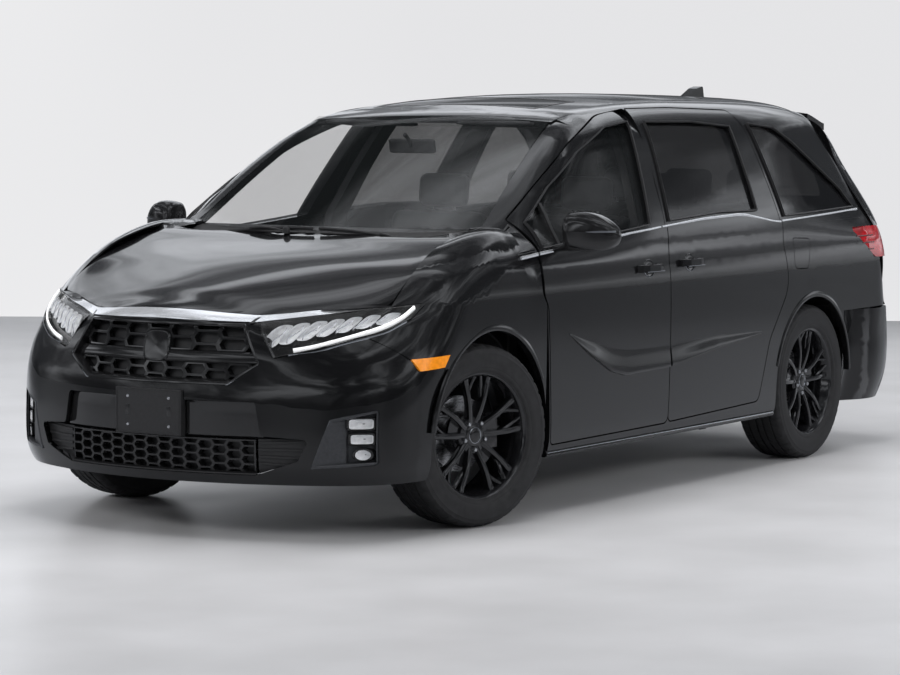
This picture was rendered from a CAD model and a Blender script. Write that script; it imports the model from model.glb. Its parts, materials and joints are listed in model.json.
import json
import math
import bpy
import bmesh
import numpy as np
from mathutils import Matrix, Vector


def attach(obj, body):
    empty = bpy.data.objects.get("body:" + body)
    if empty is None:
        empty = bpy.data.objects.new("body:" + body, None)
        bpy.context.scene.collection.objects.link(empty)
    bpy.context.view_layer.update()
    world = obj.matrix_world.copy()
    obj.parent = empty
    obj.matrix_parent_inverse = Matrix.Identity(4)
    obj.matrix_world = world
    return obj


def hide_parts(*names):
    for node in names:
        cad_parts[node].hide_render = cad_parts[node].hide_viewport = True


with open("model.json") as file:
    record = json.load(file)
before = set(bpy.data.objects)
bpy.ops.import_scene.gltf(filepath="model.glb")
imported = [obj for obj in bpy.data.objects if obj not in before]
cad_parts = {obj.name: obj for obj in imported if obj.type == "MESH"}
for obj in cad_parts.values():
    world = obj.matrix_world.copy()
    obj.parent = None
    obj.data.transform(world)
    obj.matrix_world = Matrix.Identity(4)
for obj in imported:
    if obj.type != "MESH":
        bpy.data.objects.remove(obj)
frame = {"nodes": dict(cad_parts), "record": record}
NODES = frame["nodes"]
BODY_OF = {member: body for body, members in frame["record"]["behaviour"]["bodies"].items() for member in members}


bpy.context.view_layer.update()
MM = 0.001
COLLECTION = bpy.context.scene.collection

# ---------------------------------------------------------------- sizes, as in the part (mm)
FRONT_AXLE = 1600.0
REAR_AXLE = -1400.0
TYRE_R = 370.5
HALF_TRACK = 855.0
KINGPIN = 790.0
STEER = math.radians(-15.0)
HALF_WIDTH = 995.0
REAR_END = -2617.0
NOSE = 2600.0
HOOD_REAR_X, HOOD_REAR_Z = 1540.0, 1162.0
HEADER_X = 570.0
FENDER_X = 1195.0
C_PILLAR_X = -1100.0
BELT_F, BELT_R = 1085.0, 1180.0
EDGE_POWER = 2.3
DOORS = ("door_left", "door_right")
SIDES = ((1, "left"), (-1, "right"))
# the photo's camera, in metres and radians
EYE = (12.7043, 7.6405, 1.7445)
AZIMUTH, ELEVATION, ROLL = math.radians(31.73), math.radians(4.32), 0.0051487
FOCAL_LENGTH = 129.05


# ---------------------------------------------------------------- the body's form
class Curve:
    """Smooth curve through (place, value) pairs, level beyond the ends."""

    def __init__(self, table):
        self.x = np.array([p[0] for p in table], float)
        self.y = np.array([p[1] for p in table], float)
        d = np.diff(self.y) / np.diff(self.x)
        m = np.zeros(len(table))
        m[0], m[-1] = d[0], d[-1]
        for i in range(1, len(table) - 1):
            if d[i - 1] * d[i] > 0:
                m[i] = 2 * d[i - 1] * d[i] / (d[i - 1] + d[i])
        self.m = m

    def __call__(self, place):
        p = np.clip(np.asarray(place, float), self.x[0], self.x[-1])
        i = np.clip(np.searchsorted(self.x, p, side="right") - 1, 0, len(self.x) - 2)
        h = self.x[i + 1] - self.x[i]
        t = (p - self.x[i]) / h
        a = self.y[i] * (1 + 2 * t) * (1 - t) ** 2 + self.y[i + 1] * t * t * (3 - 2 * t)
        return a + h * (self.m[i] * t * (1 - t) ** 2 - self.m[i + 1] * t * t * (1 - t))


def soft_step(v, a, b):
    t = np.clip((np.asarray(v, float) - a) / (b - a), 0.0, 1.0)
    return t * t * (3 - 2 * t)


SIDE_INSET = Curve([(195, 75), (260, 30), (330, 10), (450, 5), (750, 0), (900, 1), (1000, 10), (1085, 27), (1150, 48),
                    (1200, 67), (1300, 110), (1400, 157), (1500, 207), (1600, 263), (1680, 330), (1750, 400)])
HOOD_LINE = Curve([(1350, 1180), (1509, 1162), (1693, 1124), (1893, 1082), (2048, 1044), (2300, 972), (2394, 942),
                   (2489, 918), (2570, 888)])
HOOD_SAG = Curve([(1509, 0.0), (1693, 1.8e-5), (1893, 5.5e-5), (2048, 1.06e-4), (2192, 1.7e-4), (2394, 3.2e-4),
                  (2540, 4.5e-4)])
ROOF_LINE = Curve([(-2280, 1645), (-2117, 1688), (-1957, 1717), (-1817, 1733), (-1400, 1745), (-695, 1750),
                   (-300, 1742), (0, 1726), (300, 1700), (420, 1678), (570, 1654), (720, 1642)])
FRONT_LINE = Curve([(205, 2555), (300, 2596), (400, 2600), (540, 2598), (700, 2582), (838, 2548), (918, 2515),
                    (998, 2470)])
FRONT_SWEEP = Curve([(225, 3.6e-4), (600, 3.8e-4), (700, 4.1e-4), (908, 5.2e-4)])
REAR_LINE = Curve([(215, -2547), (315, -2595), (450, -2615), (630, -2617), (700, -2572), (900, -2542), (1020, -2522),
                   (1160, -2485), (1240, -2439), (1600, -2250), (1660, -2217)])


def side_line(x, z):
    width = HALF_WIDTH - SIDE_INSET(z)
    width = width - 24.0 * (x / 2400.0) ** 2
    cabin = soft_step(z, BELT_F - 60, BELT_R + 60)
    width = width - cabin * 48.0 * soft_step(x, 150.0, FENDER_X + 200)
    return width - cabin * 60.0 * soft_step(-x, -C_PILLAR_X, -REAR_END)


def windshield_height(x, y):
    share = soft_step(x, HEADER_X, HOOD_REAR_X)
    return HOOD_REAR_Z + (HOOD_REAR_X + 10 - x) * 0.5 - (1.15e-4 + 1.1e-4 * share) * y * y


def top_line(x, y):
    hood = HOOD_LINE(x) - HOOD_SAG(x) * y * y
    glass = windshield_height(x, y)
    roof = ROOF_LINE(x) - (9.0e-5 + 3.0e-5 * soft_step(-x, -REAR_AXLE, -REAR_END)) * y * y
    near = np.maximum(0.0, 1 - np.abs(glass - roof) / 30.0)
    cabin = np.minimum(glass, roof) - near * near * 7.5
    out = np.where(x < FENDER_X, cabin, np.maximum(hood, cabin))
    return np.where(x > HOOD_REAR_X, hood, out)


def outside(x, y, z):
    """Above 0 outside the body's form, below 0 inside it."""
    x, y, z = np.broadcast_arrays(np.asarray(x, float), np.asarray(y, float), np.asarray(z, float))
    ahead = soft_step(x, FENDER_X - 80, FENDER_X + 200)
    corner = soft_step(x, FRONT_AXLE + 250, NOSE - 300)
    behind = soft_step(-x, -REAR_AXLE, -REAR_END - 250)
    across = 95.0 + 95.0 * ahead + 90.0 * corner + 70.0 * behind
    up = 75.0 + 55.0 * ahead - 88.0 * corner
    u = (np.abs(y) - side_line(x, z) + across) / across
    w = (z - top_line(x, y) + up) / up
    front = (x - (FRONT_LINE(z) - FRONT_SWEEP(z) * y * y) + 260.0) / 260.0
    rear = ((REAR_LINE(z) + 2.2e-4 * y * y) + 190.0 - x) / 190.0
    v = np.where(x > 0, front, rear)
    total = np.zeros_like(x)
    for share in (u, v, w):
        total = total + np.maximum(share, 0.0) ** EDGE_POWER
    return total - 1.0


BISECTIONS = 34
# start points inside the form, under the hood, in the cabin and toward the two ends
HOOD_BASE, CABIN_BASE, NOSE_FROM, TAIL_FROM = 700.0, 1105.0, 1900.0, -1500.0


def cast(start, direction, reach=1500.0):
    """Distance from points inside the form to its surface, along directions."""
    start = [np.asarray(a, float) for a in start]
    direction = [np.asarray(a, float) for a in direction]
    shape = np.broadcast(*start, *direction).shape
    low, high = np.zeros(shape), np.full(shape, float(reach))
    for _ in range(BISECTIONS):
        mid = (low + high) / 2
        out = outside(*(s + d * mid for s, d in zip(start, direction))) > 0
        high = np.where(out, mid, high)
        low = np.where(out, low, mid)
    return low


class Map:
    """Distances read from a grid that is worked out once."""

    def __init__(self, function, a_range, b_range, step):
        self.a0, self.b0, self.step = a_range[0], b_range[0], step
        a = np.arange(a_range[0], a_range[1] + step, step)
        b = np.arange(b_range[0], b_range[1] + step, step)
        self.grid = function(a[:, None], b[None, :])

    def __call__(self, a, b):
        a, b = np.broadcast_arrays(np.asarray(a, float), np.asarray(b, float))
        u = np.clip((a - self.a0) / self.step, 0, self.grid.shape[0] - 1.001)
        v = np.clip((b - self.b0) / self.step, 0, self.grid.shape[1] - 1.001)
        i, j = u.astype(int), v.astype(int)
        u, v = u - i, v - j
        g = self.grid
        near, far = g[i, j] * (1 - u) + g[i + 1, j] * u, g[i, j + 1] * (1 - u) + g[i + 1, j + 1] * u
        return near * (1 - v) + far * v


side_y = Map(lambda x, z: cast((x, 0.0, z), (0.0, 1.0, 0.0)), (-2620, 2600), (180, 1720), 5.0)
NOSE_MAP = Map(lambda y, z: NOSE_FROM + cast((NOSE_FROM, y, z), (1.0, 0.0, 0.0), 900.0), (0, 1000), (180, 960), 4.0)
TAIL_MAP = Map(lambda y, z: TAIL_FROM - cast((TAIL_FROM, y, z), (-1.0, 0.0, 0.0), 1300.0), (0, 1000), (180, 1720),
               5.0)


def nose_x(y, z):
    return NOSE_MAP(np.abs(y), z)


def tail_x(y, z):
    return TAIL_MAP(np.abs(y), z)


def top_z(x, y):
    base = np.where(np.asarray(x, float) > FENDER_X, HOOD_BASE, CABIN_BASE)
    return base + cast((x, y, base), (0.0, 0.0, 1.0), 800.0)


def form_normals(points, step=10.0):
    """Outward unit normals of the form near points (N, 3)."""
    x, y, z = points[:, 0], points[:, 1], points[:, 2]
    g = np.stack([outside(x + a, y + b, z + c) - outside(x - a, y - b, z - c)
                  for a, b, c in ((step, 0, 0), (0, step, 0), (0, 0, step))], 1)
    length = np.linalg.norm(g, axis=1, keepdims=True)
    return g / np.maximum(length, 1e-9), length[:, 0] / (2 * step)


# ---------------------------------------------------------------- materials
MATERIALS = {}


def feed(tree, socket, given):
    """Set a node's input to a value, or link it to another node's output."""
    if isinstance(given, bpy.types.NodeSocket):
        tree.links.new(given, socket)
    else:
        socket.default_value = given


def add_node(tree, kind, output, inputs=(), **settings):
    """Output of a new shader node; inputs go by name or number, each a value or another node's output."""
    node = tree.nodes.new("ShaderNode" + kind)
    for name, setting in settings.items():
        setattr(node, name, setting)
    for name, given in dict(inputs).items():
        feed(tree, node.inputs[name], given)
    return node.outputs[output]


def add_ramp(tree, source, *stops):
    """Colour of a ramp that source runs through; stops are (place, colour), its two ends first."""
    node = tree.nodes.new("ShaderNodeValToRGB")
    elements = node.color_ramp.elements
    for k, (place, colour) in enumerate(stops):
        stop = elements[k] if k < 2 else elements.new(place)
        stop.position, stop.color = place, (*colour, 1)
    tree.links.new(source, node.inputs["Fac"])
    return node.outputs["Color"]


def add_mix(tree, factor, first, second, blend="MIX"):
    """Colour mixed from two."""
    return add_node(tree, "Mix", 2, {"Factor": factor, 6: first, 7: second}, data_type="RGBA", blend_type=blend)


def material(name, base, rough, metallic=0.0, coat=0.0, coat_rough=0.03, specular=0.5, ior=1.5, vary=0.0,
             vary_scale=30.0, bump=0.0, bump_scale=400.0, bump_distance=0.0004, stretch=(1.0, 1.0, 1.0), alpha=1.0,
             emission=0.0, rough_vary=0.0, cells=False):
    """Node material: base colour with fine variation, uneven roughness and a bump."""
    m = MATERIALS[name] = bpy.data.materials.new(name)
    m.use_nodes = True
    tree = m.node_tree
    surface = tree.nodes["Principled BSDF"].inputs
    values = {"Base Color": (*base, 1), "Roughness": rough, "Metallic": metallic, "Coat Weight": coat,
              "Coat Roughness": coat_rough, "Specular IOR Level": specular, "IOR": ior, "Alpha": alpha}
    if emission:
        values.update({"Emission Color": (*base, 1), "Emission Strength": emission})
    place = add_node(tree, "Mapping", "Vector", {"Vector": add_node(tree, "TexCoord", "Object"), "Scale": stretch})
    noise = add_node(tree, "TexNoise", "Fac", {"Vector": place, "Scale": vary_scale, "Detail": 4.0})
    dark = [max(0.0, c * (1 - vary)) for c in base]
    light = [min(1.0, c * (1 + vary) + 0.002 * vary) for c in base]
    links = {"Base Color": add_ramp(tree, noise, (0.3, dark), (0.7, light))}
    if rough_vary:
        links["Roughness"] = add_node(tree, "MapRange", "Result", {
            "Value": noise, "To Min": max(0.0, rough - rough_vary), "To Max": min(1.0, rough + rough_vary)})
    if bump:
        fine = add_node(tree, "TexVoronoi" if cells else "TexNoise", "Distance" if cells else "Fac",
                        {"Vector": place, "Scale": bump_scale})
        links["Normal"] = add_node(tree, "Bump", "Normal",
                                   {"Height": fine, "Strength": bump, "Distance": bump_distance})
    for key, given in [*values.items(), *links.items()]:
        feed(tree, surface[key], given)


material("paint", (0.0030, 0.0030, 0.0034), 0.25, specular=0.15, coat=1.0, coat_rough=0.012, vary=0.3,
         vary_scale=900.0, rough_vary=0.04)
material("gloss_black", (0.008, 0.008, 0.0085), 0.08, coat=0.6, vary=0.2, vary_scale=120.0, rough_vary=0.03)
material("satin_black", (0.016, 0.016, 0.017), 0.42, vary=0.2, vary_scale=80.0, rough_vary=0.06, bump=0.12,
         bump_scale=900.0, bump_distance=0.0002)
material("grained_black", (0.022, 0.022, 0.023), 0.62, vary=0.25, vary_scale=60.0, bump=0.35, bump_scale=1500.0,
         bump_distance=0.0003, cells=True)
material("dark_grey", (0.045, 0.047, 0.052), 0.40, metallic=0.3, vary=0.15, vary_scale=90.0, bump=0.1,
         bump_scale=1200.0)
material("chrome", (0.86, 0.88, 0.92), 0.16, metallic=0.75, vary=0.04, vary_scale=14.0, rough_vary=0.03)
material("bright_edge", (0.55, 0.57, 0.60), 0.16, metallic=1.0, vary=0.06, vary_scale=20.0, rough_vary=0.04)
material("clear_glass", (0.010, 0.012, 0.012), 0.01, specular=1.0, ior=2.4, alpha=0.13, vary=0.08, vary_scale=3.0)
material("dark_glass", (0.003, 0.003, 0.0035), 0.01, specular=1.0, ior=1.6, alpha=0.66, vary=0.2, vary_scale=3.0)
material("lens", (0.05, 0.05, 0.05), 0.01, specular=1.0, ior=2.4, alpha=0.10, vary=0.02, vary_scale=8.0)
material("reflector", (0.80, 0.81, 0.83), 0.16, metallic=0.35, vary=0.12, vary_scale=60.0, rough_vary=0.08, bump=0.2,
         bump_scale=300.0)
material("lamp_white", (0.93, 0.94, 0.95), 0.25, vary=0.03, vary_scale=40.0, emission=0.35)
material("lamp_red", (0.33, 0.006, 0.010), 0.08, coat=0.8, vary=0.25, vary_scale=25.0, specular=0.8, bump=0.15,
         bump_scale=260.0)
material("lamp_red_dark", (0.10, 0.004, 0.006), 0.12, coat=0.8, vary=0.3, vary_scale=35.0)
material("amber", (0.85, 0.27, 0.01), 0.15, coat=0.6, vary=0.12, vary_scale=60.0, bump=0.2, bump_scale=350.0)
material("rim_black", (0.007, 0.007, 0.008), 0.14, coat=0.8, vary=0.25, vary_scale=70.0, rough_vary=0.04)
material("tyre", (0.017, 0.017, 0.018), 0.62, vary=0.35, vary_scale=38.0, rough_vary=0.12, bump=0.35, bump_scale=700.0,
         bump_distance=0.0003)
material("steel", (0.42, 0.42, 0.43), 0.28, metallic=1.0, vary=0.25, vary_scale=45.0, rough_vary=0.1, bump=0.1,
         bump_scale=300.0, stretch=(1, 1, 8))
material("cast", (0.10, 0.10, 0.105), 0.6, metallic=0.6, vary=0.35, vary_scale=50.0, rough_vary=0.1, bump=0.4,
         bump_scale=260.0, bump_distance=0.0006)
material("lug", (0.62, 0.63, 0.65), 0.18, metallic=1.0, vary=0.1, vary_scale=90.0, rough_vary=0.05)
material("structure", (0.018, 0.018, 0.019), 0.5, vary=0.3, vary_scale=16.0, rough_vary=0.1, bump=0.15,
         bump_scale=180.0)
material("leather", (0.016, 0.016, 0.017), 0.48, vary=0.3, vary_scale=24.0, rough_vary=0.08, bump=0.3, bump_scale=900.0,
         bump_distance=0.0002, cells=True)
material("stitch", (0.13, 0.13, 0.135), 0.7, vary=0.2, vary_scale=300.0)
material("cabin_plastic", (0.028, 0.028, 0.030), 0.6, vary=0.2, vary_scale=40.0, bump=0.35, bump_scale=1300.0,
         bump_distance=0.0003, cells=True)
material("carpet", (0.018, 0.018, 0.018), 0.95, vary=0.45, vary_scale=240.0, bump=0.7, bump_scale=900.0)
material("mirror_glass", (0.72, 0.74, 0.76), 0.02, metallic=1.0, vary=0.02, vary_scale=5.0)
material("screen", (0.004, 0.004, 0.006), 0.06, coat=0.7, vary=0.2, vary_scale=12.0)


# ---------------------------------------------------------------- piece helpers
def dress(obj, mat, body, replaces=()):
    """Material, slot and body of a piece, and the CAD nodes that it replaces."""
    obj.data.materials.clear()
    obj.data.materials.append(MATERIALS[mat])
    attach(obj, body)
    if replaces:
        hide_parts(*replaces)


def piece(name, verts, faces, mat, body="body", replaces=(), sharp=32.0, recalc=True):
    """Mesh piece from points in millimetres; edges steeper than sharp degrees stay edges."""
    me = bpy.data.meshes.new(name)
    me.from_pydata([tuple(float(c) * MM for c in v) for v in verts], [], faces)
    me.validate()
    obj = bpy.data.objects.new(name, me)
    COLLECTION.objects.link(obj)
    if recalc:
        bm = bmesh.new()
        bm.from_mesh(me)
        bmesh.ops.recalc_face_normals(bm, faces=bm.faces)
        bm.to_mesh(me)
        bm.free()
    me.shade_smooth()
    me.set_sharp_from_angle(angle=math.radians(sharp))
    dress(obj, mat, body, replaces)
    return obj


def merged(parts):
    """Several (verts, faces) meshes as one."""
    verts, faces = [], []
    for v, f in parts:
        shift = len(verts)
        verts.extend(v)
        faces.extend(tuple(i + shift for i in face) for face in f)
    return verts, faces


def joined(name, parts, mat, body="body", **more):
    """One piece from several meshes."""
    return piece(name, *merged(parts), mat, body, **more)


def flipped(part):
    """Mirror image on the other side."""
    v, f = part
    return [(x, -y, z) for x, y, z in v], [tuple(reversed(face)) for face in f]


def both(name, part, mat, left_body="body", right_body="body", **more):
    """A piece on the left and its mirror image on the right."""
    piece(name + "_left", *part, mat, left_body, **more)
    piece(name + "_right", *flipped(part), mat, right_body, **more)


def ring_faces(rings, around, closed=False):
    """Quads between rings of points that each close on themselves; closed also joins the last to the first."""
    faces = []
    for i in range(rings if closed else rings - 1):
        a, b = i * around, (i + 1) % rings * around
        for j in range(around):
            k = (j + 1) % around
            faces.append((a + j, a + k, b + k, b + j))
    return faces


def grid_mesh(points):
    """Mesh of a grid of points given as rows."""
    rows, columns = len(points), len(points[0])
    verts = [tuple(p) for row in points for p in row]
    faces = []
    for i in range(rows - 1):
        for j in range(columns - 1):
            a = i * columns + j
            faces.append((a, a + 1, a + columns + 1, a + columns))
    return verts, faces


def hoops(rings):
    """Mesh of rings of points, each closed by its first point."""
    return grid_mesh([[*ring, ring[0]] for ring in rings])


def doubled_area(outline):
    """Twice an outline's area, above 0 where it runs anticlockwise."""
    return sum(a[0] * b[1] - b[0] * a[1] for a, b in zip(outline, [*outline[1:], outline[0]]))


def cut_convex(bm, poly):
    """Keep the part of a flat mesh inside an anticlockwise convex polygon."""
    count = len(poly)
    for k in range(count):
        a, b = poly[k], poly[(k + 1) % count]
        edge = (b - a) / max(1e-9, np.linalg.norm(b - a))
        normal = (edge[1], -edge[0], 0)
        bmesh.ops.bisect_plane(bm, geom=bm.verts[:] + bm.edges[:] + bm.faces[:], plane_co=(a[0], a[1], 0),
                               plane_no=normal, clear_outer=True, dist=1e-4)


def flat_to_solid(bm, place, near, far):
    """Solid from a flat mesh: place(a, b, depth) gives a point; walls join near and far along open edges."""
    if not bm.faces:
        bm.free()
        return [], []
    bm.verts.index_update()
    co = np.array([v.co[:2] for v in bm.verts])
    front = place(co[:, 0], co[:, 1], near)
    back = place(co[:, 0], co[:, 1], far)
    verts = [tuple(p) for p in front] + [tuple(p) for p in back]
    n = len(co)
    faces = []
    for f in bm.faces:
        ids = [v.index for v in f.verts]
        faces.append(tuple(ids))
        faces.append(tuple(i + n for i in reversed(ids)))
    for e in bm.edges:
        if len(e.link_faces) == 1:
            a, b = e.verts[0].index, e.verts[1].index
            faces.append((a, b, b + n, a + n))
    bm.free()
    return verts, faces


def on_nose(a, b, depth):
    """a is Y, b is Z, depth below the nose along X."""
    return np.stack([nose_x(a, b) - depth, a, b], 1)


def on_tail(a, b, depth):
    return np.stack([tail_x(a, b) + depth, a, b], 1)


def on_side(a, b, depth):
    """a is X, b is Z, on the left side."""
    return np.stack([a, side_y(a, b) - depth, b], 1)


def plate(polygons, place, near, far, step=18.0):
    """Curved plate over convex polygons: a grid of cells cut along each polygon's edges, placed at two depths."""
    parts = []
    for polygon in polygons:
        poly = np.array(polygon if doubled_area(polygon) > 0 else polygon[::-1], float)
        low, high = poly.min(0), poly.max(0)
        na, nb = (max(1, math.ceil(span / step)) for span in high - low)
        bm = bmesh.new()
        grid = [[bm.verts.new((low[0] + (high[0] - low[0]) * i / na, low[1] + (high[1] - low[1]) * j / nb, 0))
                 for j in range(nb + 1)] for i in range(na + 1)]
        for i in range(na):
            for j in range(nb):
                bm.faces.new((grid[i][j], grid[i + 1][j], grid[i + 1][j + 1], grid[i][j + 1]))
        cut_convex(bm, poly)
        parts.append(flat_to_solid(bm, place, near, far))
    return merged(parts)


def along(table, place):
    """Value at a place, straight between (place, value) pairs."""
    return np.interp(place, *zip(*table))


def run_lengths(p):
    """Distance of each point along a line from its first one."""
    return np.r_[0, np.cumsum(np.linalg.norm(np.diff(p, axis=0), axis=1))]


def resampled(outline, count):
    """Points along a closed outline, its corners among them."""
    p = np.array([*outline, outline[0]], float)
    d = run_lengths(p)
    t = np.unique(np.r_[np.linspace(0, d[-1], count), d])[:-1]
    return np.stack([np.interp(t, d, p[:, 0]), np.interp(t, d, p[:, 1])], 1)


def smooth_line(points, count):
    """Points along a smooth curve through the given ones."""
    p = np.array(points, float)
    d = run_lengths(p)
    t = np.linspace(0, d[-1], count)
    return np.stack([Curve(list(zip(d, p[:, k])))(t) for k in range(p.shape[1])], 1)


def bowed(value, power):
    """Sine or cosine drawn toward a rounded square."""
    return np.sign(value) * abs(value) ** power


def rounded(cy, cz, half_y, half_z, power, grow=1.0, count=40):
    """Rounded rectangle of (Y, Z) points."""
    return [(cy + half_y * grow * bowed(math.cos(t), power), cz + half_z * grow * bowed(math.sin(t), power))
            for t in np.linspace(0, 2 * math.pi, count, endpoint=False)]


def swept(path, section, up=(0, 0, 1), closed=False, scale=None):
    """Section (a, b) points swept along a path; a points sideways and b along up."""
    path, up = np.array(path, float), np.array(up, float)
    n, m = len(path), len(section)
    verts = []
    for i in range(n):
        before = path[i - 1] if (i > 0 or closed) else path[i]
        after = path[(i + 1) % n] if (i < n - 1 or closed) else path[i]
        t = after - before
        t = t / max(1e-9, np.linalg.norm(t))
        side = np.cross(t, up)
        side = side / max(1e-9, np.linalg.norm(side))
        rise = np.cross(side, t)
        k = 1.0 if scale is None else scale[i]
        verts += [tuple(path[i] + side * a * k + rise * b * k) for a, b in section]
    faces = ring_faces(n, m, closed)
    if not closed:
        faces += [tuple(range(m - 1, -1, -1)), tuple(range((n - 1) * m, n * m))]
    return verts, faces


def round_section(ra, rb, count=12):
    return [(ra * math.cos(2 * math.pi * k / count), rb * math.sin(2 * math.pi * k / count)) for k in range(count)]


def block(x0, x1, y0, y1, z0, z1, bevel=0.0):
    """Bevelled block as (verts, faces)."""
    bm = bmesh.new()
    bmesh.ops.create_cube(bm, size=1.0)
    for v in bm.verts:
        v.co = [low + (share + 0.5) * (high - low) for share, low, high in zip(v.co, (x0, y0, z0), (x1, y1, z1))]
    if bevel:
        bmesh.ops.bevel(bm, geom=bm.edges[:], offset=bevel, segments=3, affect="EDGES", profile=0.6)
    bm.verts.index_update()
    out = [tuple(v.co) for v in bm.verts], [tuple(v.index for v in f.verts) for f in bm.faces]
    bm.free()
    return out


def turned(profile, count, centre=(0, 0, 0), axis="y", closed=False):
    """Profile (radius, along) points turned round an axis through centre; closed joins the profile's ends."""
    verts, faces = [], []
    m = len(profile)
    for k in range(count):
        a = 2 * math.pi * k / count
        for r, h in profile:
            across, rise = r * math.cos(a), r * math.sin(a)
            offset = (across, h, rise) if axis == "y" else (across, rise, h)
            verts.append(tuple(c + o for c, o in zip(centre, offset)))
    for k in range(count):
        a, d = k * m, (k + 1) % count * m
        faces += [(a + j, a + j + 1, d + j + 1, d + j) for j in range(m - 1)]
    if closed:
        faces += [(k * m + m - 1, k * m, (k + 1) % count * m, (k + 1) % count * m + m - 1) for k in range(count)]
    return verts, faces


def moved(part, matrix):
    v, f = part
    return [tuple(matrix @ Vector(p)) for p in v], f


# ---------------------------------------------------------------- carried-over CAD nodes
SKIN_REACH = 9.0
SKIN_COSINE = 0.80


def skinned(node, mat):
    """The CAD panel with shading normals of the exact form, so that reflections run smoothly across its facets."""
    me = NODES[node].data.copy()
    obj = bpy.data.objects.new("skin_" + node, me)
    COLLECTION.objects.link(obj)

    def read(items, key, count, kind=np.float32):
        out = np.zeros(count, kind)
        items.foreach_get(key, out)
        return out

    normals = read(me.corner_normals, "vector", len(me.loops) * 3).reshape(-1, 3).astype(float)
    points = read(me.vertices, "co", len(me.vertices) * 3).reshape(-1, 3).astype(float) / MM
    loops = read(me.loops, "vertex_index", len(me.loops), np.int32)
    flat = read(me.polygons, "normal", len(me.polygons) * 3).reshape(-1, 3).astype(float)
    face_normals = np.repeat(flat, read(me.polygons, "loop_total", len(me.polygons), np.int32), axis=0)
    exact, steep = form_normals(points)
    distance = np.abs(outside(*points.T)) / np.maximum(steep, 1e-6)
    wanted = exact[loops]
    close = (distance[loops] < SKIN_REACH) & ((face_normals * wanted).sum(1) > SKIN_COSINE)
    normals[close] = wanted[close]
    me.polygons.foreach_set("use_smooth", [True] * len(me.polygons))
    me.normals_split_custom_set(normals.tolist())
    dress(obj, mat, BODY_OF[node], [node])


SKINS = {
    "paint": "hood fender_left fender_right front_bumper rear_bumper roof_panel side_frame_left side_frame_right "
             "front_door_left front_door_right sliding_door_left sliding_door_right tailgate fuel_flap",
    "clear_glass": "windshield front_door_glass_left front_door_glass_right",
    "dark_glass": "sliding_door_glass_left sliding_door_glass_right fixed_side_glass tailgate_glass sunroof_glass",
    "lamp_red": "tail_lamps tailgate_lamps",
    "chrome": "front_bright_bar",
}
PAINTED = {
    "gloss_black": "roof_fin mirror_left mirror_right", "structure": "door_pillars front_structure",
    "carpet": "floor_pan", "cast": "engine_block front_subframe rear_axle knuckle_left knuckle_right",
    "steel": "exhaust", "grained_black": "cowl_panel", "cabin_plastic": "dashboard", "lens": "headlamps",
    "satin_black": "fuel_tank upper_grille lower_grille plate_bracket", "dark_grey": "fog_lamps",
    "leather": "steering_wheel front_seats second_row_seats third_row_seat",
    "rim_black": "rim_front_left rim_front_right rim_rear_left rim_rear_right",
    "tyre": "tyre_front_left tyre_front_right tyre_rear_left tyre_rear_right",
}
for mat, nodes in SKINS.items():
    for node in nodes.split():
        skinned(node, mat)
for mat, nodes in PAINTED.items():
    for node in nodes.split():
        NODES[node].data.materials.clear()
        NODES[node].data.materials.append(MATERIALS[mat])

# ---------------------------------------------------------------- wheels
# some points of the tread are set in at every so many of its rays, by so much
NOTCHES = {1: (5, 2.0), 2: (5, 5.0), 3: (7, 4.0)}


def tyre_mesh(count=210):
    """Tyre about the Y axis with shoulder blocks, sipes and sidewall rings; the third number picks a notch."""
    profile = [(243.5, 88, 0), (249, 99, 0), (259, 103, 0), (263, 108, 0), (272, 112, 0), (276, 112, 0),
               (280, 114.5, 0), (300, 117, 0), (320, 117.3, 0), (332, 116, 0), (336, 116.6, 0), (340, 115, 0),
               (350, 111, 0), (352, 111, 1), (360, 104, 2), (366, 94, 2), (368.8, 84, 2), (369.6, 72, 2),
               (369.8, 64, 0), (362, 62.5, 0), (362, 55.5, 0), (370.2, 54, 0), (370.4, 34, 3), (370.4, 24, 3),
               (370.4, 22, 0), (362, 20.5, 0), (362, 13.5, 0), (370.5, 12, 0)]
    full = profile + [(r, -h, k) for r, h, k in reversed(profile)]
    verts = []
    for i in range(count):
        a = 2 * math.pi * i / count
        for r, h, kind in full:
            every, deep = NOTCHES.get(kind, (1, 0.0))
            r -= 0.0 if i % every else deep
            verts.append((r * math.cos(a), h, r * math.sin(a)))
    return verts, ring_faces(count, len(full), closed=True)


def polar(r, y, angle):
    """Point at a radius and an angle about the Y axis."""
    return (r * math.cos(angle), y, r * math.sin(angle))


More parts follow.
